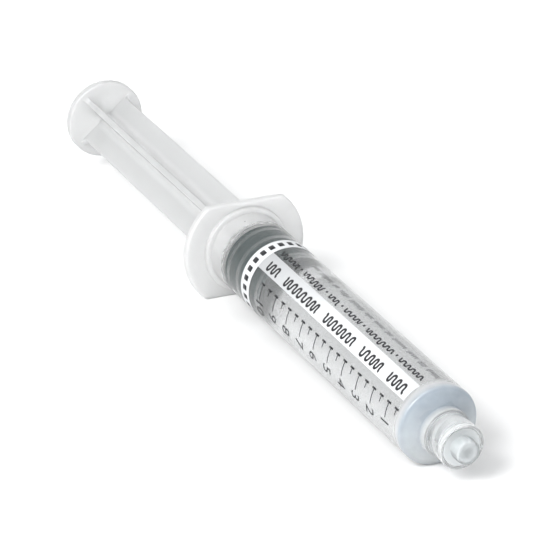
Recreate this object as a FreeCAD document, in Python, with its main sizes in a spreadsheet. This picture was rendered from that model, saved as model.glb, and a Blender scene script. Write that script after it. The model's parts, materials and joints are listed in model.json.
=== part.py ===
# Pre-filled flush syringe, 10 mL, with luer-lock collar, plunger and tip cap.
# Millimetres. Every piece is drawn along its own +X, from the thumb end to the tip.
# The whole syringe is laid down as it rests: on the lower flat of its finger flange
# and on the front edge of its barrel, with the floor at Z = 0 and +X towards the tip.
import FreeCAD
import Part
import Sketcher
import math
import os

SIZES = {
    # barrel moulding
    "barrel_outer_dia": 16.4,
    "barrel_bore_dia": 14.5,
    "barrel_length": 86.0,
    "bore_lead": 0.35,
    "front_wall": 0.6,
    "bore_cone_depth": 1.9,
    "shoulder_length": 1.9,
    "shoulder_round": 0.6,
    # finger flange
    "flange_dia": 26.94,
    "flange_across_flats": 20.8,
    "flange_thickness": 1.7,
    "flange_round": 0.45,
    "boss_dia": 18.6,
    "boss_height": 0.9,
    "boss_round": 0.35,
    # luer-lock collar and nozzle
    "collar_base_dia": 10.0,
    "collar_base_length": 1.7,
    "collar_base_round": 0.35,
    "collar_outer_dia": 9.2,
    "collar_length": 7.4,
    "collar_bore_dia": 8.0,
    "collar_floor": 0.9,
    "rim_round": 0.2,
    "nozzle_tip_dia": 3.95,
    "nozzle_taper": 0.06,
    "nozzle_bore_dia": 2.0,
    "nozzle_proud": 2.0,
    # plunger rod
    "rod_exposed": 71.7,
    "thumb_dia": 17.7,
    "thumb_thickness": 2.05,
    "thumb_round": 0.6,
    "rib_span": 13.1,
    "rib_thickness": 1.3,
    "rib_root_round": 1.5,
    "rib_turn": 41.0,
    "head_dia": 13.6,
    "head_thickness": 1.4,
    "stud_neck_dia": 4.6,
    "stud_neck_length": 3.0,
    "stud_head_dia": 7.0,
    "stud_head_length": 4.4,
    "stud_nose_dia": 3.6,
    # rubber stopper
    "fill_mark": 25.0,
    "stopper_length": 17.7,
    "stopper_core_dia": 13.5,
    "seal_width": 2.0,
    "seal_count": 4,
    "seal_round": 0.3,
    "stopper_clearance": 0.04,
    "socket_clearance": 0.05,
    # tip cap
    "cap_skirt_dia": 6.8,
    "cap_skirt_length": 5.9,
    "cap_floor_gap": 0.5,
    "cap_stub_dia": 4.8,
    "cap_end_wall": 0.55,
    "cap_clearance": 0.03,
    "cap_round": 0.3,
    "grip_count": 8,
    "grip_width": 0.5,
    "grip_height": 0.18,
    # printed label film and the saline inside
    "label_start": 17.0,
    "label_length": 67.0,
    "label_gap": 0.005,
    "label_thickness": 0.035,
    "fluid_clearance": 0.02,
}

doc = FreeCAD.newDocument("FlushSyringe")
sheet = doc.addObject("Spreadsheet::Sheet", "Sizes")
for row, (alias, number) in enumerate(SIZES.items(), start=1):
    sheet.set(f"A{row}", alias.replace("_", " "))
    sheet.set(f"B{row}", str(number))
    sheet.setAlias(f"B{row}", alias)
doc.recompute()


def value(expression):
    """The number that an expression of the sheet gives now."""
    result = sheet.evalExpression(expression)
    return float(getattr(result, "Value", result))


def half(alias):
    """The radius that belongs to a diameter of the sheet."""
    return f"Sizes.{alias} / 2"


# Places along the syringe, counted from the rear face of the finger flange.
BORE_END = "(Sizes.barrel_length - Sizes.front_wall)"
SHOULDER_END = "(Sizes.barrel_length + Sizes.shoulder_length)"
COLLAR_FLOOR = f"({SHOULDER_END} + Sizes.collar_floor)"
COLLAR_RIM = f"({SHOULDER_END} + Sizes.collar_length)"
NOZZLE_TIP = f"({COLLAR_RIM} + Sizes.nozzle_proud)"
THUMB_REAR = "(-Sizes.rod_exposed - Sizes.thumb_thickness)"
STOPPER_REAR = "(Sizes.fill_mark - Sizes.stopper_length)"
CAP_REAR = f"({COLLAR_FLOOR} + Sizes.cap_floor_gap)"
CAP_FRONT = f"({NOZZLE_TIP} + Sizes.cap_clearance + Sizes.cap_end_wall)"

# Slopes shared by pieces that fit each other.
BORE_CONE_SLOPE = (
    f"(Sizes.bore_cone_depth / ({half('barrel_bore_dia')} - {half('nozzle_bore_dia')}))"
)
SHOULDER_TURN = (
    f"atan(({half('barrel_outer_dia')} - {half('collar_base_dia')}) / Sizes.shoulder_length)"
)
STOPPER_OUTER = f"({half('barrel_bore_dia')} - Sizes.stopper_clearance)"

# A rib's rounded root stays on the flat of the thumb disc, just short of its edge.
ROOT_ROOM = f"({half('thumb_dia')} - Sizes.thumb_round - Sizes.rib_span / 2)"
ROOT_ROOM_SHARE = 0.9
RIB_ROOT = f"min(Sizes.rib_root_round; {ROOT_ROOM_SHARE} * {ROOT_ROOM})"

# The barrel touches the floor where its front rounding begins.
FRONT_CONTACT = f"(Sizes.barrel_length - Sizes.shoulder_round * tan({SHOULDER_TURN} / 2))"
REAR_CONTACT = "(Sizes.flange_thickness - Sizes.flange_round)"
REST_TILT = (
    f"atan((Sizes.flange_across_flats / 2 - {half('barrel_outer_dia')})"
    f" / ({FRONT_CONTACT} - {REAR_CONTACT}))"
)
AXIS_HEIGHT = (
    f"(Sizes.flange_across_flats / 2 * cos({REST_TILT}) + {REAR_CONTACT} * sin({REST_TILT}))"
)
MIDDLE = (
    f"((({CAP_FRONT} + {THUMB_REAR}) * cos({REST_TILT})"
    f" + ({half('cap_stub_dia')} - {half('thumb_dia')}) * sin({REST_TILT})) / 2)"
)


def new_body(label, along):
    """A body whose own origin lies at the place `along` on the syringe's axis."""
    body = doc.addObject("PartDesign::Body", label)
    body.Label = label
    body.setExpression(
        "Placement",
        f"placement(vector({along} * cos({REST_TILT}) - {MIDDLE}; 0;"
        f" {AXIS_HEIGHT} - {along} * sin({REST_TILT}));"
        f" rotation(vector(0; 1; 0); {REST_TILT}))",
    )
    return body


def origin_feature(body, role):
    """One of the body's own base planes or axes."""
    return next(f for f in body.Origin.OriginFeatures if f.Role == role)


def bind(sketch, kind, first, second, expression):
    """Hold the distance between two points of a sketch at an expression."""
    number = value(expression)
    if number < 0:
        first, second = second, first
        expression = f"-({expression})"
    index = sketch.addConstraint(Sketcher.Constraint(kind, *first, *second, abs(number)))
    sketch.setExpression(f"Constraints[{index}]", expression)


def outline(body, name, role, corners):
    """A closed outline of straight sides, each corner held by two expressions."""
    sketch = body.newObject("Sketcher::SketchObject", name)
    sketch.AttachmentSupport = [(origin_feature(body, role), "")]
    sketch.MapMode = "FlatFace"
    points = [FreeCAD.Vector(value(across), value(up), 0) for across, up in corners]
    count = len(points)
    start = sketch.GeometryCount
    for index in range(count):
        sketch.addGeometry(Part.LineSegment(points[index], points[(index + 1) % count]))
    for index in range(count):
        after = (index + 1) % count
        sketch.addConstraint(
            Sketcher.Constraint("Coincident", start + index, 2, start + after, 1)
        )
    for index, (across, up) in enumerate(corners):
        corner = (start + index, 1)
        if across == "0":
            sketch.addConstraint(Sketcher.Constraint("PointOnObject", *corner, -2))
        else:
            bind(sketch, "DistanceX", (-1, 1), corner, across)
        if up == "0":
            sketch.addConstraint(Sketcher.Constraint("PointOnObject", *corner, -1))
        else:
            bind(sketch, "DistanceY", (-1, 1), corner, up)
    return sketch


def turned(body, name, corners):
    """A full turn of a half-section about the body's X axis."""
    sketch = outline(body, name + "Section", "XZ_Plane", corners)
    turn = body.newObject("PartDesign::Revolution", name)
    turn.Profile = sketch
    turn.ReferenceAxis = (sketch, ["H_Axis"])
    turn.Angle = 360
    sketch.Visibility = False
    doc.recompute()
    return turn


def rounded(body, name, names, radius):
    """Round the named edges of the body's tip to a radius given as an expression."""
    base = body.Tip
    if not names:
        raise RuntimeError(f"{name} finds no edge")
    fillet = body.newObject("PartDesign::Fillet", name)
    fillet.Base = (base, names)
    fillet.setExpression("Radius", radius)
    doc.recompute()
    return fillet


def near(first, second):
    """Whether two lengths are the same to a thousandth of a millimetre."""
    return abs(first - second) < 1e-3


def rings(shape, places):
    """Names of the round edges at (along, radius) places given as expressions."""
    wanted = [(value(along), value(radius)) for along, radius in places]
    found = []
    for index, edge in enumerate(shape.Edges, start=1):
        if not hasattr(edge.Curve, "Radius"):
            continue
        for along, radius in wanted:
            if near(edge.Curve.Center.x, along) and near(edge.Curve.Radius, radius):
                found.append(f"Edge{index}")
    return found


def make_barrel():
    """One moulding: finger flange, tube, shoulder, nozzle and luer-lock collar."""
    body = new_body("barrel", "0")
    taper = f"(Sizes.nozzle_taper / 2 * ({NOZZLE_TIP} - {COLLAR_FLOOR}))"
    turned(body, "BarrelTurn", [
        ("0", f"{half('barrel_bore_dia')} + Sizes.bore_lead"),
        ("0", half("flange_dia")),
        ("Sizes.flange_thickness", half("flange_dia")),
        ("Sizes.flange_thickness", half("boss_dia")),
        ("Sizes.flange_thickness + Sizes.boss_height", half("boss_dia")),
        ("Sizes.flange_thickness + Sizes.boss_height", half("barrel_outer_dia")),
        ("Sizes.barrel_length", half("barrel_outer_dia")),
        (SHOULDER_END, half("collar_base_dia")),
        (f"{SHOULDER_END} + Sizes.collar_base_length", half("collar_base_dia")),
        (f"{SHOULDER_END} + Sizes.collar_base_length", half("collar_outer_dia")),
        (COLLAR_RIM, half("collar_outer_dia")),
        (COLLAR_RIM, half("collar_bore_dia")),
        (COLLAR_FLOOR, half("collar_bore_dia")),
        (COLLAR_FLOOR, f"{half('nozzle_tip_dia')} + {taper}"),
        (NOZZLE_TIP, half("nozzle_tip_dia")),
        (NOZZLE_TIP, half("nozzle_bore_dia")),
        (f"{BORE_END} + Sizes.bore_cone_depth", half("nozzle_bore_dia")),
        (BORE_END, half("barrel_bore_dia")),
        ("Sizes.bore_lead", half("barrel_bore_dia")),
    ])
    cut_flange_flats(body)
    round_flange(body)
    shape = body.Tip.Shape
    rounded(body, "ShoulderRound", rings(shape, [
        ("Sizes.barrel_length", half("barrel_outer_dia")),
    ]), "Sizes.shoulder_round")
    shape = body.Tip.Shape
    rounded(body, "BossRound", rings(shape, [
        ("Sizes.flange_thickness + Sizes.boss_height", half("boss_dia")),
        ("Sizes.flange_thickness + Sizes.boss_height", half("barrel_outer_dia")),
    ]), "Sizes.boss_round")
    shape = body.Tip.Shape
    rounded(body, "CollarBaseRound", rings(shape, [
        (f"{SHOULDER_END} + Sizes.collar_base_length", half("collar_base_dia")),
    ]), "Sizes.collar_base_round")
    shape = body.Tip.Shape
    rounded(body, "RimRound", rings(shape, [
        (COLLAR_RIM, half("collar_outer_dia")),
        (COLLAR_RIM, half("collar_bore_dia")),
        (NOZZLE_TIP, half("nozzle_tip_dia")),
    ]), "Sizes.rim_round")
    return body


def cut_flange_flats(body):
    """Cut the flange disc to its two flats, above and below."""
    before = body.Tip.Shape.Volume
    side = "Sizes.flange_dia / 2 + Sizes.flange_thickness"
    edge = "Sizes.flange_across_flats / 2"
    for name, sign in (("Top", ""), ("Bottom", "-")):
        sketch = outline(body, f"Flat{name}Outline", "YZ_Plane", [
            (f"-({side})", f"{sign}({edge})"),
            (side, f"{sign}({edge})"),
            (side, f"{sign}({side})"),
            (f"-({side})", f"{sign}({side})"),
        ])
        pocket = body.newObject("PartDesign::Pocket", f"Flat{name}")
        pocket.Profile = sketch
        pocket.Reversed = True
        pocket.setExpression("Length", "Sizes.flange_thickness")
        sketch.Visibility = False
        doc.recompute()
        after = body.Tip.Shape.Volume
        if after > before - 1:
            raise RuntimeError(f"the {name} flat cuts nothing")
        before = after


def round_flange(body):
    """Round the flange's outer edges, arcs and flats alike, on both faces."""
    faces = (0.0, value("Sizes.flange_thickness"))
    outside = value(half("boss_dia")) + 0.01
    names = []
    for index, edge in enumerate(body.Tip.Shape.Edges, start=1):
        ends = [edge.valueAt(edge.FirstParameter), edge.valueAt(edge.LastParameter)]
        for place in faces:
            on_face = all(near(point.x, place) for point in ends)
            if on_face and all(math.hypot(point.y, point.z) > outside for point in ends):
                names.append(f"Edge{index}")
    rounded(body, "FlangeRound", names, "Sizes.flange_round")


def make_plunger_rod():
    """Thumb disc, four ribs, head disc and the stud that holds the stopper."""
    body = new_body("plunger_rod", THUMB_REAR)
    head_front = f"({STOPPER_REAR} - {THUMB_REAR})"
    head_rear = f"({head_front} - Sizes.head_thickness)"
    neck_end = f"({head_front} + Sizes.stud_neck_length)"
    nose = f"({neck_end} + Sizes.stud_head_length)"
    turned(body, "ThumbDisc", [
        ("0", "0"),
        ("0", half("thumb_dia")),
        ("Sizes.thumb_thickness", half("thumb_dia")),
        ("Sizes.thumb_thickness", "0"),
    ])
    shape = body.Tip.Shape
    rounded(body, "ThumbRound", rings(shape, [
        ("0", half("thumb_dia")),
        ("Sizes.thumb_thickness", half("thumb_dia")),
    ]), "Sizes.thumb_round")
    turned(body, "HeadAndStud", [
        (head_rear, "0"),
        (head_rear, half("head_dia")),
        (head_front, half("head_dia")),
        (head_front, half("stud_neck_dia")),
        (neck_end, half("stud_neck_dia")),
        (neck_end, half("stud_head_dia")),
        (nose, half("stud_nose_dia")),
        (nose, "0"),
    ])
    add_ribs(body, head_rear)
    return body


def add_ribs(body, head_rear):
    """Four flat ribs about the axis, with a rounded root on the thumb disc."""
    inside = "Sizes.thumb_thickness / 2"
    into_head = f"{head_rear} + Sizes.head_thickness / 2"
    sketch = outline(body, "RibOutline", "XZ_Plane", [
        (inside, "0"),
        (inside, "Sizes.rib_span / 2"),
        (into_head, "Sizes.rib_span / 2"),
        (into_head, "0"),
    ])
    sketch.AttachmentOffset = FreeCAD.Placement(
        FreeCAD.Vector(0, 0, 0), FreeCAD.Rotation(FreeCAD.Vector(1, 0, 0), 1)
    )
    sketch.setExpression("AttachmentOffset.Rotation.Angle", "Sizes.rib_turn")
    rib = body.newObject("PartDesign::Pad", "Rib")
    rib.Profile = sketch
    rib.Midplane = True
    rib.setExpression("Length", "Sizes.rib_thickness")
    sketch.Visibility = False
    doc.recompute()
    before = body.Tip.Shape.Volume
    ribs = body.newObject("PartDesign::PolarPattern", "Ribs")
    ribs.Originals = [rib]
    ribs.Axis = (origin_feature(body, "X_Axis"), [""])
    ribs.Angle = 360
    ribs.Occurrences = 4
    body.Tip = ribs
    doc.recompute()
    if body.Tip.Shape.Volume < before + 1:
        raise RuntimeError("the ribs add nothing")
    names = []
    face = value("Sizes.thumb_thickness")
    reach = math.hypot(value("Sizes.rib_span / 2"), value("Sizes.rib_thickness / 2"))
    for index, edge in enumerate(body.Tip.Shape.Edges, start=1):
        ends = [edge.valueAt(edge.FirstParameter), edge.valueAt(edge.LastParameter)]
        if not all(near(point.x, face) for point in ends):
            continue
        if all(near(math.hypot(point.y, point.z), reach) for point in ends):
            names.append(f"Edge{index}")
    rounded(body, "RibRoots", names, RIB_ROOT)


def make_stopper():
    """Rubber stopper: conical front, sealing rings and a socket for the stud."""
    body = new_body("stopper", STOPPER_REAR)
    core = half("stopper_core_dia")
    gap = "Sizes.socket_clearance"
    neck_end = f"(Sizes.stud_neck_length - {gap})"
    nose = f"(Sizes.stud_neck_length + Sizes.stud_head_length + {gap})"
    cone = f"({STOPPER_OUTER} - {half('nozzle_bore_dia')}) * {BORE_CONE_SLOPE}"
    turned(body, "StopperTurn", [
        ("0", f"{half('stud_neck_dia')} + {gap}"),
        ("0", core),
        ("Sizes.stopper_length - Sizes.seal_width / 2", core),
        ("Sizes.stopper_length - Sizes.seal_width / 2", STOPPER_OUTER),
        ("Sizes.stopper_length", STOPPER_OUTER),
        (f"Sizes.stopper_length + {cone}", half("nozzle_bore_dia")),
        (f"Sizes.stopper_length + {cone}", "0"),
        (nose, "0"),
        (nose, f"{half('stud_nose_dia')} + {gap}"),
        (neck_end, f"{half('stud_head_dia')} + {gap}"),
        (neck_end, f"{half('stud_neck_dia')} + {gap}"),
    ])
    before = body.Tip.Shape.Volume
    ring = turned(body, "SealRing", [
        ("0", f"{core} - Sizes.seal_round"),
        ("0", STOPPER_OUTER),
        ("Sizes.seal_width", STOPPER_OUTER),
        ("Sizes.seal_width", f"{core} - Sizes.seal_round"),
    ])
    row = body.newObject("PartDesign::LinearPattern", "SealRings")
    row.Originals = [ring]
    row.Direction = (origin_feature(body, "X_Axis"), [""])
    row.setExpression("Length", "Sizes.stopper_length - Sizes.seal_width")
    row.setExpression("Occurrences", "Sizes.seal_count")
    body.Tip = row
    doc.recompute()
    if body.Tip.Shape.Volume < before + 1:
        raise RuntimeError("the seal rings add nothing")
    names = []
    outer = value(STOPPER_OUTER)
    front = value("Sizes.stopper_length")
    for index, edge in enumerate(body.Tip.Shape.Edges, start=1):
        if not hasattr(edge.Curve, "Radius") or not near(edge.Curve.Radius, outer):
            continue
        if not near(edge.Curve.Center.x, front):
            names.append(f"Edge{index}")
    rounded(body, "SealRounds", names, "Sizes.seal_round")
    return body


def make_tip_cap():
    """Closed cap: a skirt down into the collar and a ribbed stub over the nozzle."""
    body = new_body("tip_cap", CAP_REAR)
    front = f"({CAP_FRONT} - {CAP_REAR})"
    socket_end = f"({NOZZLE_TIP} + Sizes.cap_clearance - {CAP_REAR})"
    mouth = f"({half('nozzle_tip_dia')} + Sizes.nozzle_taper / 2 * ({NOZZLE_TIP} - {CAP_REAR}))"
    turned(body, "CapTurn", [
        ("0", f"{mouth} + Sizes.cap_clearance"),
        ("0", half("cap_skirt_dia")),
        ("Sizes.cap_skirt_length", half("cap_skirt_dia")),
        ("Sizes.cap_skirt_length", half("cap_stub_dia")),
        (front, half("cap_stub_dia")),
        (front, "0"),
        (socket_end, "0"),
        (socket_end, f"{half('nozzle_tip_dia')} + Sizes.cap_clearance"),
    ])
    shape = body.Tip.Shape
    rounded(body, "CapRound", rings(shape, [
        ("0", half("cap_skirt_dia")),
        ("Sizes.cap_skirt_length", half("cap_skirt_dia")),
        (front, half("cap_stub_dia")),
    ]), "Sizes.cap_round")
    before = body.Tip.Shape.Volume
    low = f"{half('cap_stub_dia')} - Sizes.cap_end_wall / 2"
    sketch = outline(body, "GripOutline", "XZ_Plane", [
        ("Sizes.cap_skirt_length - Sizes.cap_round", low),
        ("Sizes.cap_skirt_length - Sizes.cap_round", f"{half('cap_stub_dia')} + Sizes.grip_height"),
        (f"{front} - 2 * Sizes.cap_round", f"{half('cap_stub_dia')} + Sizes.grip_height"),
        (f"{front} - Sizes.cap_round", low),
    ])
    grip = body.newObject("PartDesign::Pad", "Grip")
    grip.Profile = sketch
    grip.Midplane = True
    grip.setExpression("Length", "Sizes.grip_width")
    sketch.Visibility = False
    doc.recompute()
    grips = body.newObject("PartDesign::PolarPattern", "Grips")
    grips.Originals = [grip]
    grips.Axis = (origin_feature(body, "X_Axis"), [""])
    grips.Angle = 360
    grips.setExpression("Occurrences", "Sizes.grip_count")
    body.Tip = grips
    doc.recompute()
    if body.Tip.Shape.Volume < before + 0.1:
        raise RuntimeError("the grips add nothing")
    return body


def make_label_film():
    """Thin printed sleeve wrapped round the tube."""
    body = new_body("label_film", "Sizes.label_start")
    inner = f"{half('barrel_outer_dia')} + Sizes.label_gap"
    turned(body, "LabelTurn", [
        ("0", inner),
        ("0", f"{inner} + Sizes.label_thickness"),
        ("Sizes.label_length", f"{inner} + Sizes.label_thickness"),
        ("Sizes.label_length", inner),
    ])
    return body


def make_saline_fill():
    """The saline between the stopper and the cap, out to the end of the nozzle."""
    gap = "Sizes.fluid_clearance"
    start = f"(Sizes.fill_mark + {gap})"
    body = new_body("saline_fill", start)
    wide = f"({half('barrel_bore_dia')} - {gap})"
    thin = f"({half('nozzle_bore_dia')} - {gap})"
    rear_cone = f"({wide} - {thin}) * {BORE_CONE_SLOPE}"
    turned(body, "SalineTurn", [
        ("0", wide),
        (f"{BORE_END} - {gap} - {start}", wide),
        (f"{BORE_END} - {gap} - {start} + {rear_cone}", thin),
        (f"{NOZZLE_TIP} - {start}", thin),
        (f"{NOZZLE_TIP} - {start}", "0"),
        (rear_cone, "0"),
        (rear_cone, thin),
    ])
    return body


def check(bodies):
    """Stop unless every object is sound and every piece is one closed solid."""
    for item in doc.Objects:
        if "Invalid" in item.State or "Error" in item.State:
            raise RuntimeError(f"{item.Name} failed: {item.State}")
    for body in bodies:
        shape = body.Shape
        if shape.isNull() or not shape.isValid() or len(shape.Solids) != 1:
            raise RuntimeError(f"{body.Label} isn't one valid solid")


pieces = [
    make_barrel(),
    make_plunger_rod(),
    make_stopper(),
    make_tip_cap(),
    make_label_film(),
    make_saline_fill(),
]
doc.recompute()
check(pieces)
os.makedirs("parts", exist_ok=True)
for piece in pieces:
    piece.Shape.exportStep(f"parts/{piece.Label}.step")
    box = piece.Shape.BoundBox
    print(
        f"{piece.Label}: volume {piece.Shape.Volume:.1f}"
        f" x {box.XMin:.3f}..{box.XMax:.3f} y {box.YMin:.3f}..{box.YMax:.3f}"
        f" z {box.ZMin:.3f}..{box.ZMax:.3f}"
    )
print(f"rest tilt {value(REST_TILT):.4f} axis height {value(AXIS_HEIGHT):.4f} middle {value(MIDDLE):.4f}")
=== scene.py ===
"""Looks of a pre-filled 10 mL flush syringe that lies on a pale floor.

Lengths are millimetres along and about the syringe's own axis, counted from the rear face of
the finger flange, until SyringeAxis turns them into the row frame in metres. Angles run about
that axis from the +Y side over the top.
"""
from __future__ import annotations

import json
import logging
import math
from dataclasses import dataclass
from enum import Enum

import bmesh
import bpy
import numpy as np
from mathutils import Matrix, Quaternion, Vector


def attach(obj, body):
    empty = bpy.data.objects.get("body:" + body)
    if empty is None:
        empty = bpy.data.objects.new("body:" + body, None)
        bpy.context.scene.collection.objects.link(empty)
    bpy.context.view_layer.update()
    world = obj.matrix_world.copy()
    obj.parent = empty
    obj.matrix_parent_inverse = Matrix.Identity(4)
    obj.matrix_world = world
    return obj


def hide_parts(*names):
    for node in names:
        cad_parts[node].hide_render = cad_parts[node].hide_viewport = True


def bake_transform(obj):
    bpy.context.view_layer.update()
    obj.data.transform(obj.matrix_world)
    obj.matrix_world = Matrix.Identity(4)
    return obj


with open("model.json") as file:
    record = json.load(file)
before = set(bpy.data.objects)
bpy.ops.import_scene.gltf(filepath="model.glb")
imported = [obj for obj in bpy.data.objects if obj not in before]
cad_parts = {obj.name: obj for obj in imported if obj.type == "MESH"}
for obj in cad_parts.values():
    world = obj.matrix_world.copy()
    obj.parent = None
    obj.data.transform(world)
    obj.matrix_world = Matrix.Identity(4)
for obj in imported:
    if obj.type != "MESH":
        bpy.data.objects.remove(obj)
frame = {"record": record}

log = logging.getLogger("flush_syringe")
MM = 0.001
TURN = 2.0 * math.pi
AXIS_HEIGHT = 10.43   # height of the syringe's axis at x 0 of the row frame
AXIS_FALL = 0.02606   # fall of the axis for each step along x
PLASTIC_IOR = 1.49
SIDE_SHARE = 0.45     # most of a side that the arc at its end may take
SUPPORT = 0.12        # distance of a support row from its arc
SUPPORT_SHARE = 0.4   # most of a side's flat part that the support row may take
ROW_ROOM = 0.45       # least distance of an in-between row from a corner
Colour = tuple[float, float, float]


class Body(Enum):
    """The bodies of the model that the pieces ride on."""

    BARREL = "barrel"
    PLUNGER = "plunger"
    TIP_CAP = "tip_cap"


class Slot(Enum):
    """The record's material slots."""

    BARREL = "barrel_plastic"
    ROD = "rod_plastic"
    STOPPER = "stopper_rubber"
    CAP = "cap_plastic"
    LABEL = "label_film"
    SALINE = "saline"


@dataclass(frozen=True)
class SyringeAxis:
    """The syringe's own axis in the row frame.

    Attributes:
        tip: Place of the luer tip, in metres.
        along: Unit vector towards the tip.
        tip_mark: Distance of the luer tip from the flange's rear face, in millimetres.
    """

    tip: np.ndarray
    along: np.ndarray
    tip_mark: float = 97.3

    @classmethod
    def from_record(cls, record: dict) -> SyringeAxis:
        """Read the axis from the mount at the luer tip.

        Args:
            record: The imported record.

        Returns:
            The axis that every piece is laid out on.
        """
        mount = next(m for m in record["mounts"] if m["name"] == "luer_tip")
        along = np.array(mount["axis"], float)
        return cls(np.array(mount["pos_m"], float), along / np.linalg.norm(along))

    @property
    def side(self) -> np.ndarray:
        """Unit vector across the axis, level."""
        return np.array([0.0, 1.0, 0.0])

    @property
    def above(self) -> np.ndarray:
        """Unit vector across the axis, upwards."""
        return np.cross(self.along, self.side)

    def place(self, s: np.ndarray, y: np.ndarray, z: np.ndarray) -> np.ndarray:
        """Row-frame points of places along, aside and above the axis.

        Args:
            s: Millimetres from the flange's rear face.
            y: Millimetres aside.
            z: Millimetres above.

        Returns:
            Points in metres, with a last dimension of 3.
        """
        s, y, z = np.broadcast_arrays(np.asarray(s, float), y, z)
        offset = (s - self.tip_mark)[..., None] * self.along
        offset = offset + y[..., None] * self.side + z[..., None] * self.above
        return self.tip + MM * offset

    def turned(self, s: np.ndarray, radius: np.ndarray, angle: np.ndarray) -> np.ndarray:
        """Row-frame points of places given by distance, radius and angle about the axis."""
        return self.place(s, radius * np.cos(angle), radius * np.sin(angle))


@dataclass(frozen=True)
class Corner:
    """One corner of a half-section: its place, its rounding and the rows after it."""

    s: float
    r: float
    round: float = 0.04
    rows: int = 0


def half_section(corners: list[Corner], closed: bool, steps: int = 7) -> np.ndarray:
    """Points of a half-section with rounded corners.

    Each corner becomes an arc that is tangent to its two sides, with a support point a short
    way along each side so that smooth shading keeps the flats flat. A corner on the axis, or
    at the end of an open section, stays sharp.

    Args:
        corners: The corners in order.
        closed: Whether the last corner joins the first.
        steps: Steps in each arc.

    Returns:
        An array of (s, r) points in order.
    """
    count = len(corners)
    points: list[np.ndarray] = []
    for index, corner in enumerate(corners):
        here = np.array([corner.s, corner.r])
        at_end = not closed and index in (0, count - 1)
        if at_end:
            points.append(here[None])
        else:
            before = corners[index - 1]
            after = corners[(index + 1) % count]
            points.append(corner_arc(here, before, after, corner.round, steps))
        if corner.rows and not (at_end and index):
            follower = corners[(index + 1) % count]
            after = np.array([follower.s, follower.r])
            room = ROW_ROOM / np.linalg.norm(after - here)
            share = np.linspace(room, 1.0 - room, corner.rows)[:, None]
            points.append(here * (1 - share) + after * share)
    return np.concatenate(points)


def corner_arc(
    here: np.ndarray, before: Corner, after: Corner, radius: float, steps: int
) -> np.ndarray:
    """The arc that rounds one corner, with its two support points.

    The arc starts at the tangent length radius * tan(half the turn) before the corner, and its
    points are the circle's own, from the bisector's centre.

    Args:
        here: The corner's (s, r).
        before: The corner before it.
        after: The corner after it.
        radius: Radius of the arc.
        steps: Steps in the arc.

    Returns:
        An array of (s, r) points.
    """
    back = np.array([before.s, before.r]) - here
    ahead = np.array([after.s, after.r]) - here
    back_length, ahead_length = np.linalg.norm(back), np.linalg.norm(ahead)
    back, ahead = back / back_length, ahead / ahead_length
    between = math.acos(float(np.clip(back @ ahead, -1.0, 1.0)))
    half = between / 2
    tangent = min(radius / math.tan(half), SIDE_SHARE * back_length, SIDE_SHARE * ahead_length)
    radius = tangent * math.tan(half)
    centre = here + (back + ahead) / np.linalg.norm(back + ahead) * radius / math.sin(half)
    start, end = here + back * tangent, here + ahead * tangent
    first, last = (start - centre) / radius, (end - centre) / radius
    sweep = math.pi - between
    share = np.linspace(0.0, 1.0, steps + 1)[:, None] * sweep
    arc = (first * np.sin(sweep - share) + last * np.sin(share)) / math.sin(sweep)
    arc = centre + radius * arc
    flat = min(back_length, ahead_length) - tangent
    support = min(SUPPORT, SUPPORT_SHARE * flat)
    return np.concatenate([[start + back * support], arc, [end + ahead * support]])


def quads_of(index: np.ndarray) -> np.ndarray:
    """The quads between the neighbouring rows and columns of a grid of point numbers."""
    quads = np.stack([index[:-1, :-1], index[1:, :-1], index[1:, 1:], index[:-1, 1:]], axis=-1)
    return quads.reshape(-1, 4)


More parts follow.
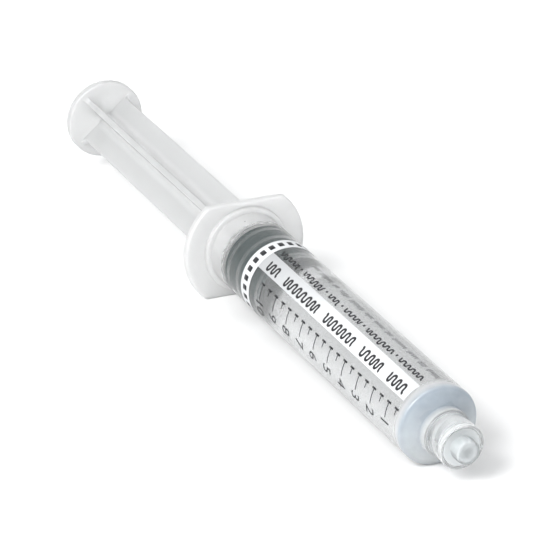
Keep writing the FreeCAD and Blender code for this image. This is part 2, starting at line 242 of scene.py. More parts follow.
class Surface:
    """Grids of points gathered into one closed mesh."""

    def __init__(self) -> None:
        """Start with no points."""
        self.points: list[np.ndarray] = []
        self.faces: list[np.ndarray] = []
        self.count = 0

    def add_grid(self, grid: np.ndarray, wrap_rows: bool, wrap_columns: bool) -> None:
        """Add a grid of points as quads, closed where its rows or columns come round.

        Args:
            grid: Points with shape (rows, columns, 3).
            wrap_rows: Whether the last row joins the first.
            wrap_columns: Whether the last column joins the first.
        """
        rows, columns = grid.shape[:2]
        index = np.arange(rows * columns).reshape(rows, columns)
        if wrap_rows:
            index = np.concatenate([index, index[:1]])
        if wrap_columns:
            index = np.concatenate([index, index[:, :1]], axis=1)
        self.add(grid.reshape(-1, 3), quads_of(index))

    def add_turned(self, grid: np.ndarray) -> None:
        """Add a turned grid whose first and last rows lie on the axis, closed by fans there.

        Args:
            grid: Points with shape (rows, columns, 3), columns going round.
        """
        rows, columns = grid.shape[:2]
        inner = np.arange((rows - 2) * columns).reshape(rows - 2, columns) + 1
        last = (rows - 2) * columns + 1
        ring = np.concatenate([inner, inner[:, :1]], axis=1)
        pole = np.zeros(columns, int)
        first_fan = np.stack([pole, ring[0, :-1], ring[0, 1:]], axis=-1)
        last_fan = np.stack([pole + last, ring[-1, 1:], ring[-1, :-1]], axis=-1)
        points = np.concatenate([grid[0, :1], grid[1:-1].reshape(-1, 3), grid[-1, :1]])
        self.add(points, quads_of(ring), first_fan, last_fan)

    def add_slab(self, top: np.ndarray, bottom: np.ndarray) -> None:
        """Add a thin closed slab between two grids of the same shape.

        Args:
            top: Outer grid, shape (rows, columns, 3).
            bottom: Inner grid of the same shape.
        """
        rows, columns = top.shape[:2]
        index = np.arange(rows * columns).reshape(rows, columns)
        quads = quads_of(index)
        under = index.size
        rim = np.concatenate([index[0, :-1], index[:-1, -1], index[-1, :0:-1], index[:0:-1, 0]])
        after = np.roll(rim, -1)
        sides = np.stack([rim, after, after + under, rim + under], axis=-1)
        points = np.concatenate([top.reshape(-1, 3), bottom.reshape(-1, 3)])
        self.add(points, quads, quads[:, ::-1] + under, sides)

    def add(self, points: np.ndarray, *blocks: np.ndarray) -> None:
        """Add points with the blocks of faces between them."""
        self.points.append(points)
        self.faces += [block + self.count for block in blocks]
        self.count += len(points)

    def build(self, name: str) -> bpy.types.Object:
        """Make the object, smooth, at the origin, with its faces pointing outwards.

        Args:
            name: Name of the piece.

        Returns:
            The linked object.
        """
        mesh = bpy.data.meshes.new(name)
        faces = [row for block in self.faces for row in block.tolist()]
        mesh.from_pydata(np.concatenate(self.points).tolist(), [], faces)
        mesh.validate()
        return finished(name, mesh)


def finished(name: str, mesh: bpy.types.Mesh) -> bpy.types.Object:
    """Link a mesh as an object, with normals outwards and smooth faces.

    Args:
        name: Name of the piece.
        mesh: Its mesh, in the row frame.

    Returns:
        The linked object.
    """
    work = bmesh.new()
    work.from_mesh(mesh)
    bmesh.ops.recalc_face_normals(work, faces=work.faces)
    work.to_mesh(mesh)
    work.free()
    mesh.polygons.foreach_set("use_smooth", np.ones(len(mesh.polygons), bool))
    mesh.update()
    piece = bpy.data.objects.new(name, mesh)
    bpy.context.scene.collection.objects.link(piece)
    return piece


class Wire:
    """An output socket of a shader, so that its maths is written as Python expressions."""

    def __init__(self, shader: Shader, socket: bpy.types.NodeSocket) -> None:
        """Hold a socket and the shader that it belongs to."""
        self.shader = shader
        self.socket = socket

    def _math(self, operation: str, *terms: Wire | float) -> Wire:
        """Add one Math node."""
        return self.shader.node("ShaderNodeMath", {"operation": operation}, dict(enumerate(terms)))

    def __add__(self, other: Wire | float) -> Wire:
        """Sum."""
        return self._math("ADD", self, other)

    __radd__ = __add__

    def __mul__(self, other: Wire | float) -> Wire:
        """Product."""
        return self._math("MULTIPLY", self, other)

    __rmul__ = __mul__

    def __sub__(self, other: Wire | float) -> Wire:
        """Difference."""
        return self._math("SUBTRACT", self, other)

    def __rsub__(self, other: Wire | float) -> Wire:
        """Reflected difference."""
        return self._math("SUBTRACT", other, self)

    def __truediv__(self, other: Wire | float) -> Wire:
        """Quotient."""
        return self._math("DIVIDE", self, other)

    def __pow__(self, other: Wire | float) -> Wire:
        """Power."""
        return self._math("POWER", self, other)

    def clamp(self) -> Wire:
        """The value held between 0 and 1."""
        return self.shader.node("ShaderNodeClamp", {}, {"Value": self})


class Shader:
    """A material and the nodes that feed it."""

    def __init__(self, name: str) -> None:
        """Make an empty node material with its output."""
        self.material = bpy.data.materials.new(name)
        self.material.use_nodes = True
        self.tree = self.material.node_tree
        self.tree.nodes.clear()
        self.output = self.tree.nodes.new("ShaderNodeOutputMaterial")

    def node(self, kind: str, settings: dict, inputs: dict, output: int | str = 0) -> Wire:
        """Add any node.

        Args:
            kind: The node's type.
            settings: Its own settings, set first.
            inputs: Values or wires by the socket's name or number.
            output: The output to return.

        Returns:
            The wire of that output.
        """
        made = self.tree.nodes.new(kind)
        for name, setting in settings.items():
            if name == "stops":
                self._set_stops(made.color_ramp, setting)
            else:
                setattr(made, name, setting)
        for name, given in inputs.items():
            if isinstance(given, Wire):
                self.tree.links.new(given.socket, made.inputs[name])
            else:
                made.inputs[name].default_value = given
        return Wire(self, made.outputs[output])

    @staticmethod
    def _set_stops(ramp: bpy.types.ColorRamp, stops: list[tuple[float, tuple]]) -> None:
        """Give a ramp its stops, each a place and a colour."""
        while len(ramp.elements) < len(stops):
            ramp.elements.new(1.0)
        for element, (place, colour) in zip(ramp.elements, stops):
            element.position = place
            element.color = colour

    def noise(self, feature: float, detail: float = 2.0) -> Wire:
        """Noise whose patches are about a feature wide, in millimetres."""
        where = self.node("ShaderNodeTexCoord", {}, {}, "Object")
        return self.node("ShaderNodeTexNoise", {}, {
            "Vector": where, "Scale": 1.0 / (feature * MM), "Detail": detail, "Roughness": 0.5,
        })

    def place(self, axis: int) -> Wire:
        """The place along one axis of the row frame, in metres."""
        where = self.node("ShaderNodeTexCoord", {}, {}, "Object")
        return self.node("ShaderNodeSeparateXYZ", {}, {0: where}, axis)

    def along(self, places: tuple[tuple[float, float], ...]) -> Wire:
        """A value that changes along the row frame's x, by straight runs between places.

        Each run adds its change times the place's share of the run, held between 0 and 1.
        """
        x = self.place(0)
        value: Wire | float = places[0][1]
        for (start, low), (end, high) in zip(places, places[1:]):
            if high != low:
                run = ((x - start * MM) / ((end - start) * MM)).clamp()
                value = run * (high - low) + value
        return value

    def off_axis(self) -> Wire:
        """Distance from the syringe's axis in millimetres, from the row frame's coordinates.

        The axis stands at a height above the floor where x is 0, and falls by a share of x,
        so the distance is the root of y squared plus (z - height + fall * x) squared.
        """
        y = self.place(1)
        above = self.place(2) - AXIS_HEIGHT * MM + self.place(0) * AXIS_FALL
        return ((y * y + above * above) ** 0.5) / MM

    def blend(self, share: Wire | float, low: tuple | Wire, high: tuple | Wire) -> Wire:
        """A colour between two, by a share from 0 to 1."""
        low, high = (end if isinstance(end, Wire) else (*end, 1.0) for end in (low, high))
        return self.node("ShaderNodeMix", {"data_type": "RGBA"}, {0: share, 6: low, 7: high}, 2)

    def bump(self, height: Wire, depth: float) -> Wire:
        """A bump of a height from 0 to 1 and a depth in millimetres."""
        return self.node("ShaderNodeBump", {}, {
            "Strength": 1.0, "Distance": depth * MM, "Height": height,
        })

    def principled(self, inputs: dict, glow_depth: float = 0.0) -> Wire:
        """The main shader node, in which light wanders to a depth in millimetres."""
        if glow_depth:
            inputs |= {
                "Subsurface Weight": 1.0, "Subsurface Radius": (1.0, 1.0, 1.0),
                "Subsurface Scale": glow_depth * MM,
            }
        return self.node("ShaderNodeBsdfPrincipled", {}, inputs)

    def close(self, surface: Wire) -> bpy.types.Material:
        """Join the last shader to the output.

        Args:
            surface: The finished shader.

        Returns:
            The material.
        """
        self.tree.links.new(surface.socket, self.output.inputs["Surface"])
        return self.material


def darker(colour: Colour, share: float) -> Colour:
    """A colour with every channel at a share of its value."""
    return tuple(channel * share for channel in colour)


@dataclass(frozen=True)
class Zone:
    """How milky and how rough a moulding is at one place along the row frame's x.

    Attributes:
        x: Place in millimetres.
        milk: Share of light that the plastic scatters instead of letting through.
        roughness: Roughness of its skin.
        shade: Place of its milky tone between the finish's three colours, from 0 to 1.
    """

    x: float
    milk: float
    roughness: float
    shade: float = 0.0


@dataclass(frozen=True)
class ClearPlastic:
    """Clear moulded polypropylene, milkier where the wall is thick, with a moulding ripple, and
    with painted light and a painted reflection in its milk and milky tone.
    """

    name: str
    tint: Colour
    milk_colours: tuple[Colour, Colour, Colour]
    zones: tuple[Zone, ...]
    glow_depth: float = 3.0
    ripple_depth: float = 0.0002
    ridge_milk: float = 0.0
    ridge_radius: float = 3.95
    ridge_height: float = 0.3
    ridge_start: float = 76.8
    # painted light: how much lighter the tip's milky tone is painted at its underside
    low_side: float = 0.0
    high_end: float = 14.0
    low_end: float = 2.0
    shoulder_start: float = 72.6

    def build(self) -> bpy.types.Material:
        """Make the material: refraction and milk, mixed by the place along the syringe.

        The thread's ridges are milkier than the collar round them, by their distance from the
        axis. The milky tone of the tip gets lighter from high_end down to low_end: it stands for
        light that the lamps here don't bring to the underside, and it turns with the piece.
        """
        shader = Shader(self.name)
        haze = shader.noise(2.5, 3.0)
        ripple = shader.noise(5.0, 1.0)
        grain = shader.noise(0.3, 2.0)
        milk = shader.along(tuple((zone.x, zone.milk) for zone in self.zones))
        inward = (self.ridge_radius - shader.off_axis()) / self.ridge_height
        in_collar = shader.along(((self.ridge_start, 0.0), (self.ridge_start + 0.2, 1.0)))
        # partly painted highlight: the milkier, lighter ridges also stand for the highlights that
        # the thread catches
        milk = milk + inward.clamp() * in_collar * self.ridge_milk
        rough = shader.along(tuple((zone.x, zone.roughness) for zone in self.zones))
        rough = rough * (haze * 0.5 + 0.75)
        clear = shader.principled({
            "Base Color": shader.blend(haze, darker(self.tint, 0.985), self.tint),
            "Roughness": rough,
            "IOR": PLASTIC_IOR,
            "Transmission Weight": 1.0,
            "Normal": shader.bump(ripple, self.ripple_depth),
        })
        downward = (self.high_end - shader.place(2) / MM) / (self.high_end - self.low_end)
        at_tip = shader.along(((self.shoulder_start, 0.0), (self.shoulder_start + 1.0, 1.0)))
        shade = haze * 0.04 + shader.along(tuple((zone.x, zone.shade) for zone in self.zones))
        # painted light: the tip's milky tone is painted lighter towards its underside
        shade = shade + downward.clamp() * at_tip * self.low_side
        places = (0.0, 0.5, 1.0)
        stops = [(place, (*colour, 1.0)) for place, colour in zip(places, self.milk_colours)]
        cloudy = shader.principled({
            "Base Color": shader.node("ShaderNodeValToRGB", {"stops": stops}, {0: shade}),
            "Roughness": rough + 0.12,
            "IOR": PLASTIC_IOR,
            "Normal": shader.bump(grain, self.ripple_depth),
        }, self.glow_depth)
        share = (milk * (haze * 0.3 + 0.85)).clamp()
        return shader.close(shader.node("ShaderNodeMixShader", {}, {0: share, 1: clear, 2: cloudy}))


@dataclass(frozen=True)
class MilkyPlastic:
    """Milky polypropylene: light wanders inside it, and its skin is satin with fine grain."""

    name: str
    thick: Colour
    thin: Colour
    core: Colour
    thick_end: float
    thin_start: float
    roughness: float
    glow_depth: float
    clarity: float
    grain_depth: float = 0.003
    core_radius: float = 1.2
    edge_radius: float = 3.0

    def build(self) -> bpy.types.Material:
        """Make the material: the thick disc and the ribs' roots about the axis are painted lighter
        than the thin ribs. This painted light stands for light gathering in the disc and filling
        the shaded corners between the ribs.
        """
        shader = Shader(self.name)
        flow = shader.noise(9.0, 2.0)
        grain = shader.noise(0.25, 2.0)
        thinness = shader.along(((self.thick_end, 0.0), (self.thin_start, 1.0)))
        outward = (shader.off_axis() - self.core_radius) / (self.edge_radius - self.core_radius)
        outward = outward + flow * 0.1
        # painted light: the colour near the axis, in the shaded corners between the ribs, is
        # painted lighter
        ribs = shader.blend(outward.clamp(), self.core, self.thin)
        return shader.close(shader.principled({
            # painted light: the thick disc is painted lighter than the thin ribs
            "Base Color": shader.blend(thinness, self.thick, ribs),
            "Roughness": grain * 0.12 + (self.roughness - 0.06),
            "IOR": PLASTIC_IOR,
            "Transmission Weight": self.clarity,
            "Normal": shader.bump(grain, self.grain_depth),
        }, self.glow_depth))


@dataclass(frozen=True)
class Rubber:
    """Grey rubber: dull, faintly mottled, with a fine grain."""

    name: str
    colour: Colour
    dark: Colour
    roughness: float
    grain_depth: float = 0.002

    def build(self) -> bpy.types.Material:
        """Make the material."""
        shader = Shader(self.name)
        mottle = shader.noise(1.4, 3.0)
        grain = shader.noise(0.12, 2.0)
        return shader.close(shader.principled({
            "Base Color": shader.blend(mottle, self.dark, self.colour),
            "Roughness": mottle * 0.15 + self.roughness,
            "Specular IOR Level": 0.12,
            "Normal": shader.bump(grain, self.grain_depth),
        }))


@dataclass(frozen=True)
class Liquid:
    """Clear salt water."""

    name: str
    tint: Colour
    ior: float = 1.33

    def build(self) -> bpy.types.Material:
        """Make the material."""
        shader = Shader(self.name)
        drift = shader.noise(12.0, 1.0)
        return shader.close(shader.principled({
            "Base Color": shader.blend(drift, darker(self.tint, 0.99), self.tint),
            "Roughness": 0.0,
            "IOR": self.ior,
            "Transmission Weight": 0.95,
        }))


@dataclass(frozen=True)
class Film:
    """Clear label film: a thin uneven haze with a soft gloss."""

    name: str
    colour: Colour
    haze: tuple[tuple[float, float], ...]

    def build(self) -> bpy.types.Material:
        """Make the material: the haze grows between places along the row frame's x, away from the
        stopper, as painted light that lightens the liquid-filled tube; its patches vary at random.
        """
        shader = Shader(self.name)
        patchy = shader.noise(3.0, 3.0)
        patchy_haze_and_painted_light = (patchy * 0.3 + 0.85) * shader.along(self.haze)
        return shader.close(shader.principled({
            "Base Color": shader.blend(patchy, darker(self.colour, 0.97), self.colour),
            "Roughness": patchy * 0.1 + 0.2,
            "Alpha": patchy_haze_and_painted_light.clamp(),
        }))


@dataclass(frozen=True)
class Ink:
    """Printing ink, slightly uneven in tone and gloss."""

    name: str
    colour: Colour
    worn: Colour
    roughness: float = 0.38

    def build(self) -> bpy.types.Material:
        """Make the material."""
        shader = Shader(self.name)
        uneven = shader.noise(0.35, 3.0)
        return shader.close(shader.principled({
            "Base Color": shader.blend(uneven, self.colour, self.worn),
            "Roughness": uneven * 0.12 + self.roughness,
            "Specular IOR Level": 0.2,
        }))


@dataclass(frozen=True)
class Matt:
    """Plain matt surface of the floor, a table that is lit a little from below."""

    name: str
    colour: Colour
    glow: float

    def build(self) -> bpy.types.Material:
        """Make the material."""
        shader = Shader(self.name)
        return shader.close(shader.principled({
            "Base Color": (*self.colour, 1.0), "Roughness": 0.9, "Specular IOR Level": 0.0,
            "Emission Color": (*self.colour, 1.0), "Emission Strength": self.glow,
        }))


BARREL_PLASTIC = ClearPlastic(
    "clear_barrel_plastic", (0.988, 0.99, 0.991),
    # painted reflection: the blue-grey middle colour, which the shoulder takes, stands for the
    # syringe's inside seen refracted through it
    ((0.70, 0.70, 0.697), (0.37, 0.425, 0.48), (0.77, 0.795, 0.805)),
    (
        # painted light: past the boss the milk fades out towards the stopper, laid over the thin
        # tube to lighten the dim rod and head inside
        Zone(-10.0, 0.50, 0.35), Zone(-9.0, 0.42, 0.35), Zone(-5.0, 0.30, 0.3),
        Zone(-3.2, 0.03, 0.18), Zone(71.4, 0.03, 0.18, 0.0), Zone(72.6, 0.45, 0.2, 0.1),
        Zone(74.6, 0.60, 0.2, 0.5), Zone(76.0, 0.56, 0.15, 0.5), Zone(77.5, 0.45, 0.15, 0.95),
        Zone(78.2, 0.12, 0.05, 0.95), Zone(82.3, 0.12, 0.05, 0.95), Zone(82.9, 0.4, 0.2, 0.95),
    ),
    # painted light: the tip's milky tone gets lighter towards the floor
    ridge_milk=0.88, low_side=0.36,
)
CAP_PLASTIC = ClearPlastic(
    "clear_cap_plastic", (0.985, 0.99, 0.993),
    # painted shade and light: the dark first colour on the skirt is painted shade between the
    # thread's ridges, and the light last colour on the lip is painted light in the shaded mouth
    # round the stub
    ((0.34, 0.37, 0.38), (0.60, 0.64, 0.65), (0.86, 0.89, 0.90)),
    (
        Zone(77.0, 0.9, 0.2, 0.0), Zone(82.1, 0.9, 0.2, 0.0), Zone(82.5, 0.6, 0.3, 0.95),
        Zone(83.2, 0.6, 0.35, 0.95), Zone(83.5, 0.22, 0.4, 0.7),
    ),
    glow_depth=0.5,
)
ROD_PLASTIC = MilkyPlastic(
    "milky_rod_plastic", (0.70, 0.703, 0.703), (0.635, 0.64, 0.641), (0.85, 0.855, 0.855),
    -84.0, -81.0, 0.5, 3.0, 0.58,
)
STOPPER_RUBBER = Rubber(
    "grey_stopper_rubber", (0.046, 0.070, 0.070), (0.036, 0.058, 0.058), 0.36,
)
SALINE = Liquid("clear_saline", (0.985, 0.993, 0.998))
# painted light: the film's haze grows from x 17 to 26 mm, lightening the tube away from the stopper
LABEL_FILM = Film("clear_label_film", (0.86, 0.87, 0.87), ((17.0, 0.012), (26.0, 0.055)))
WHITE_INK = Ink("white_label_ink", (0.545, 0.555, 0.565), (0.52, 0.53, 0.54))
BLACK_INK = Ink("black_label_ink", (0.012, 0.012, 0.014), (0.03, 0.03, 0.033))
GREY_INK = Ink("grey_label_ink", (0.09, 0.09, 0.093), (0.15, 0.15, 0.153))
FLOOR_PAINT = Matt("pale_floor", (0.76, 0.76, 0.76), 0.03)


def dress(
    piece: bpy.types.Object,
    finish: ClearPlastic | MilkyPlastic | Rubber | Liquid | Film | Ink,
    body: Body | None,
    slot: Slot,
    nodes: tuple[str, ...] = (),
) -> None:
    """Give a piece its material and the body that it rides on.

    Args:
        piece: The finished piece.
        finish: Its finish.
        body: The body it rides on, or None where it rides on no body.
        slot: The record's slot; not used.
        nodes: The model's nodes that it stands for.
    """
    material = bpy.data.materials.get(finish.name) or finish.build()
    piece.data.materials.clear()
    piece.data.materials.append(material)
    if body is not None:
        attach(piece, body.value)
    if nodes:
        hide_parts(*nodes)
    log.info("%s: %d faces", piece.name, len(piece.data.polygons))


@dataclass
class Barrel:
    """The barrel moulding: flange, boss, tube, shoulder, nozzle and threaded collar."""

    axis: SyringeAxis
    outer: float = 8.2
    bore: float = 7.25
    length: float = 86.0
    lead: float = 0.35
    bore_end: float = 85.4
    bore_cone: float = 1.9
    flange: float = 13.47
    flange_flat: float = 10.4
    flange_thickness: float = 1.7
    flange_round: float = 0.45
    boss: float = 9.3
    boss_top: float = 2.6
    boss_round: float = 0.35
    shoulder_end: float = 87.9
    shoulder_round: float = 0.6
    collar_base: float = 5.0
    collar_base_end: float = 89.6
    collar: float = 4.6
    collar_bore: float = 4.0
    collar_floor: float = 88.8
    collar_rim: float = 95.3
    rim_round: float = 0.2
    nozzle_tip: float = 97.3
    nozzle: float = 1.975
    nozzle_root: float = 2.23
    nozzle_bore: float = 1.0
    thread_start: float = 89.3
    thread_end: float = 94.6
    thread_lead: float = 5.0
    thread_starts: int = 2
    thread_height: float = 0.5
    thread_root: float = 0.62
    thread_crest: float = 0.2
    thread_fade: float = 0.5
    columns: int = 256
    thread_rows: int = 96

    def corners(self) -> list[Corner]:
        """The half-section's corners, from the bore's mouth over the outside to the bore."""
        face = self.flange_thickness
        return [
            Corner(0.0, self.bore + self.lead),
            Corner(0.0, self.flange, self.flange_round),
            Corner(face, self.flange, self.flange_round),
            Corner(face, self.boss, 0.15),
            Corner(self.boss_top, self.boss, self.boss_round),
            Corner(self.boss_top, self.outer, self.boss_round),
            Corner(self.length, self.outer, self.shoulder_round),
            Corner(self.shoulder_end, self.collar_base, 0.12),
            Corner(self.collar_base_end, self.collar_base, self.boss_round),
            Corner(self.collar_base_end, self.collar, 0.1),
            Corner(self.collar_rim, self.collar, self.rim_round),
            Corner(self.collar_rim, self.collar_bore, self.rim_round, self.thread_rows),
            Corner(self.collar_floor, self.collar_bore, 0.12),
            Corner(self.collar_floor, self.nozzle_root, 0.12),
            Corner(self.nozzle_tip, self.nozzle, self.rim_round),
            Corner(self.nozzle_tip, self.nozzle_bore, 0.1),
            Corner(self.bore_end + self.bore_cone, self.nozzle_bore, 0.1),
            Corner(self.bore_end, self.bore, 0.1),
            Corner(self.lead, self.bore, 0.1),
        ]

    def flange_shift(self, s: np.ndarray, r: np.ndarray, angle: np.ndarray) -> np.ndarray:
        """How far the flange's flats pull its edge in.

        The edge's radius is the soft lesser of the round radius and flat / |sine of the
        angle|, and a point moves by the edge's own change, fading to none at the boss.
        """
        softness = 90.0
        sine = np.maximum(np.abs(np.sin(angle)), 1e-3)
        edge = self.flange ** -softness + (self.flange_flat / sine) ** -softness
        edge = edge ** (-1 / softness)
        rim = self.flange - self.flange_round - 0.15
        near_rim = np.clip((r - self.boss) / (rim - self.boss), 0.0, 1.0)
        on_flange = s <= self.flange_thickness + 1e-6
        return np.where(on_flange, (edge - self.flange) * near_rim, 0.0)

    def thread_shift(self, s: np.ndarray, r: np.ndarray, angle: np.ndarray) -> np.ndarray:
        """How far the collar's right-handed thread stands in from its bore.

        A ridge's centre runs at s = lead * angle / turn, and its height falls from crest to
        root along straight flanks and fades out at both ends.
        """
        pitch = self.thread_lead / self.thread_starts
        phase = (s - self.thread_start) / pitch - self.thread_starts * angle / TURN
        away = np.abs(phase - np.round(phase)) * pitch
        flank = (self.thread_root - away) / (self.thread_root - self.thread_crest)
        ridge = np.clip(flank, 0.0, 1.0)
        ridge = ridge * ridge * (3 - 2 * ridge)
        inside = (s - self.thread_start) / self.thread_fade
        left = (self.thread_end - s) / self.thread_fade
        fade = np.clip(np.minimum(inside, left), 0.0, 1.0)
        on_bore = np.abs(r - self.collar_bore) < 1e-3
        return np.where(on_bore, -self.thread_height * ridge * fade, 0.0)

    def build(self) -> bpy.types.Object:
        """Make the moulding as one closed turned surface.

        Returns:
            The piece.
        """
        section = half_section(self.corners(), closed=True)
        angle = np.arange(self.columns) * TURN / self.columns
        s, turn = np.broadcast_arrays(section[:, :1], angle[None])
        r = np.broadcast_to(section[:, 1:], s.shape)
        r = r + self.flange_shift(s, r, turn) + self.thread_shift(s, r, turn)
        surface = Surface()
        surface.add_grid(self.axis.turned(s, r, turn), wrap_rows=True, wrap_columns=True)
        piece = surface.build("barrel_moulding")
        dress(piece, BARREL_PLASTIC, Body.BARREL, Slot.BARREL, ("barrel",))
        return piece


@dataclass
class PlungerRod:
    """The plunger rod: thumb disc, four ribs, head disc and stud, in one moulding."""

    axis: SyringeAxis
    rear: float = -73.75
    disc: float = 8.85
    disc_thickness: float = 2.05
    disc_round: float = 0.6
    rib_reach: float = 6.55
    rib_half: float = 0.65
    rib_edge: float = 0.25
    rib_web: float = 1.35
    rib_root: float = 1.5
    rib_turn: float = 41.0
    head: float = 6.8
    head_front: float = 7.3
    head_thickness: float = 1.4
    neck: float = 2.3
    neck_length: float = 3.0
    stud: float = 3.5
    stud_length: float = 4.4
    nose: float = 1.8

    def quarter(self, reach: float) -> np.ndarray:
        """One quarter of the ribs' section, as (across, up) points.

        It runs from the middle of one rib's edge to the middle of the next: the rounded edge
        of the first rib, its side, the rounded inner corner, and the same mirrored.
        """
        half, edge, web = self.rib_half, self.rib_edge, self.rib_web
        bend = np.linspace(0.0, math.pi / 2, 6)
        corner = np.stack([reach - edge + edge * np.cos(bend), half - edge + edge * np.sin(bend)])
        start = math.atan2(half, self.rib_reach - edge) * 1.25
        stop = math.atan2(half, half + web) * 0.92
        along = half / np.tan(np.linspace(start, stop, 9))
        side = np.stack([along, np.full_like(along, half)], -1)
        turn = np.linspace(0.0, math.pi / 4, 5)
        inner = np.stack([half + web - web * np.sin(turn), half + web - web * np.cos(turn)], -1)
        eighth = np.concatenate([[[reach, 0.0]], corner.T, side, inner])
        mirrored = eighth[-2:0:-1, ::-1]
        return np.concatenate([eighth, mirrored])

    def ribs(self, reach: float) -> np.ndarray:
        """The whole section of the four ribs, as (across, up) points round the axis."""
        quarter = self.quarter(reach)
        whole = []
        for count in range(4):
            turn = math.radians(self.rib_turn + 90.0 * count)
            cosine, sine = math.cos(turn), math.sin(turn)
            whole.append(quarter @ np.array([[cosine, sine], [-sine, cosine]]))
        return np.concatenate(whole)

    def ring(self, s: float, radius: float) -> np.ndarray:
        """A round row of the surface, whose points face those of the ribs' section."""
        section = self.ribs(self.rib_reach)
        angle = np.arctan2(section[:, 1], section[:, 0])
        return self.axis.turned(np.full(len(angle), s), np.full(len(angle), radius), angle)

    def cross(self, s: float, reach: float) -> np.ndarray:
        """A row of the surface that follows the ribs' section."""
        section = self.ribs(reach)
        return self.axis.place(np.full(len(section), s), section[:, 0], section[:, 1])

    def disc_rows(self) -> list[np.ndarray]:
        """Rows of the thumb disc, from its middle over the rim to the ribs."""
        face = self.rear + self.disc_thickness
        section = half_section([
            Corner(self.rear, 0.0),
            Corner(self.rear, self.disc, self.disc_round),
            Corner(face, self.disc, self.disc_round),
            Corner(face, self.rib_reach + self.rib_root),
        ], closed=False)
        return [self.ring(s, r) for s, r in section[:-1]]

    def rib_rows(self) -> list[np.ndarray]:
        """Rows of the ribs, with the round root on the thumb disc."""
        face = self.rear + self.disc_thickness
        turn = np.linspace(0.0, math.pi / 2, 9)
        places = face + self.rib_root * (1 - np.cos(turn))
        reaches = self.rib_reach + self.rib_root * (1 - np.sin(turn))
        end = self.head_front - self.head_thickness
        straight = (face + self.rib_root + 0.4, -35.0, 0.0, end - 0.3, end)
        flare = [self.cross(s, reach) for s, reach in zip(places, reaches)]
        return flare + [self.cross(s, self.rib_reach) for s in straight]

    def head_rows(self) -> list[np.ndarray]:
        """Rows of the head disc and the stud."""
        end = self.head_front - self.head_thickness
        neck_end = self.head_front + self.neck_length
        section = half_section([
            Corner(end, self.rib_reach + 0.05),
            Corner(end, self.head, 0.12),
            Corner(self.head_front, self.head, 0.2),
            Corner(self.head_front, self.neck, 0.3),
            Corner(neck_end, self.neck, 0.2),
            Corner(neck_end, self.stud, 0.2),
            Corner(neck_end + self.stud_length, self.nose, 0.4),
            Corner(neck_end + self.stud_length, 0.0),
        ], closed=False)
        return [self.ring(s, r) for s, r in section[1:]]

    def build(self) -> bpy.types.Object:
        """Make the rod as one closed surface of rows round the axis.

        Returns:
            The piece.
        """
        rows = self.disc_rows() + self.rib_rows() + self.head_rows()
        surface = Surface()
        surface.add_turned(np.stack(rows))
        piece = surface.build("plunger_rod_moulding")
        dress(piece, ROD_PLASTIC, Body.PLUNGER, Slot.ROD, ("plunger_rod",))
        return piece


@dataclass
class Stopper:
    """The rubber stopper with its sealing rings, conical front and socket for the stud.

    A ring presses on the bore over its whole width, and narrow grooves part the rings.
    """

    axis: SyringeAxis
    rear: float = 7.3
    rear_radius: float = 4.6
    front: float = 25.0
    ring: float = 7.262
    groove: float = 6.75
    slope: float = 0.3
    rings: tuple[tuple[float, float], ...] = (
        (8.65, 9.65), (10.7, 13.75), (14.95, 18.2), (19.4, 22.6),
    )
    lip: float = 23.8
    cone: float = 1.888
    cone_end: float = 1.0
    socket_neck: float = 2.35
    socket_neck_length: float = 2.95
    socket: float = 3.55
    socket_end: float = 7.45
    socket_nose: float = 1.85

    def build(self) -> bpy.types.Object:
        """Make the stopper as one closed turned surface.

        Returns:
            The piece.
        """
        corners = [
            Corner(self.front + self.cone, 0.0),
            Corner(self.front + self.cone, self.cone_end, 0.4),
            Corner(self.front, self.ring - 0.05, 0.2),
            Corner(self.lip, self.ring, 0.15),
            Corner(self.lip - self.slope, self.groove, 0.2),
        ]
        for start, end in reversed(self.rings):
            corners += [
                Corner(end + self.slope, self.groove, 0.2),
                Corner(end, self.ring, 0.15),
                Corner(start, self.ring, 0.15),
            ]
            if start > self.rings[0][0]:
                corners.append(Corner(start - self.slope, self.groove, 0.2))
        neck_end = self.rear + self.socket_neck_length
        corners += [
            Corner(self.rear, self.rear_radius, 0.2),
            Corner(self.rear, self.socket_neck, 0.15),
            Corner(neck_end, self.socket_neck, 0.1),
            Corner(neck_end, self.socket, 0.1),
            Corner(self.rear + self.socket_end, self.socket_nose, 0.3),
            Corner(self.rear + self.socket_end, 0.0),
        ]
        section = half_section(corners, closed=False)
        piece = turned_piece("rubber_stopper", self.axis, section)
        dress(piece, STOPPER_RUBBER, Body.PLUNGER, Slot.STOPPER, ("stopper",))
        return piece


def turned(axis: SyringeAxis, section: np.ndarray, columns: int = 192) -> np.ndarray:
    """A half-section of (s, r) points carried round the axis, with the columns going round."""
    angle = np.arange(columns) * TURN / columns
    return axis.turned(section[:, :1], section[:, 1:], angle[None])


def turned_piece(name: str, axis: SyringeAxis, section: np.ndarray) -> bpy.types.Object:
    """A closed turned surface from a half-section that starts and ends on the axis.

    Args:
        name: Name of the piece.
        axis: The syringe's axis.
        section: Array of (s, r) points.

    Returns:
        The piece.
    """
    surface = Surface()
    surface.add_turned(turned(axis, section))
    return surface.build(name)


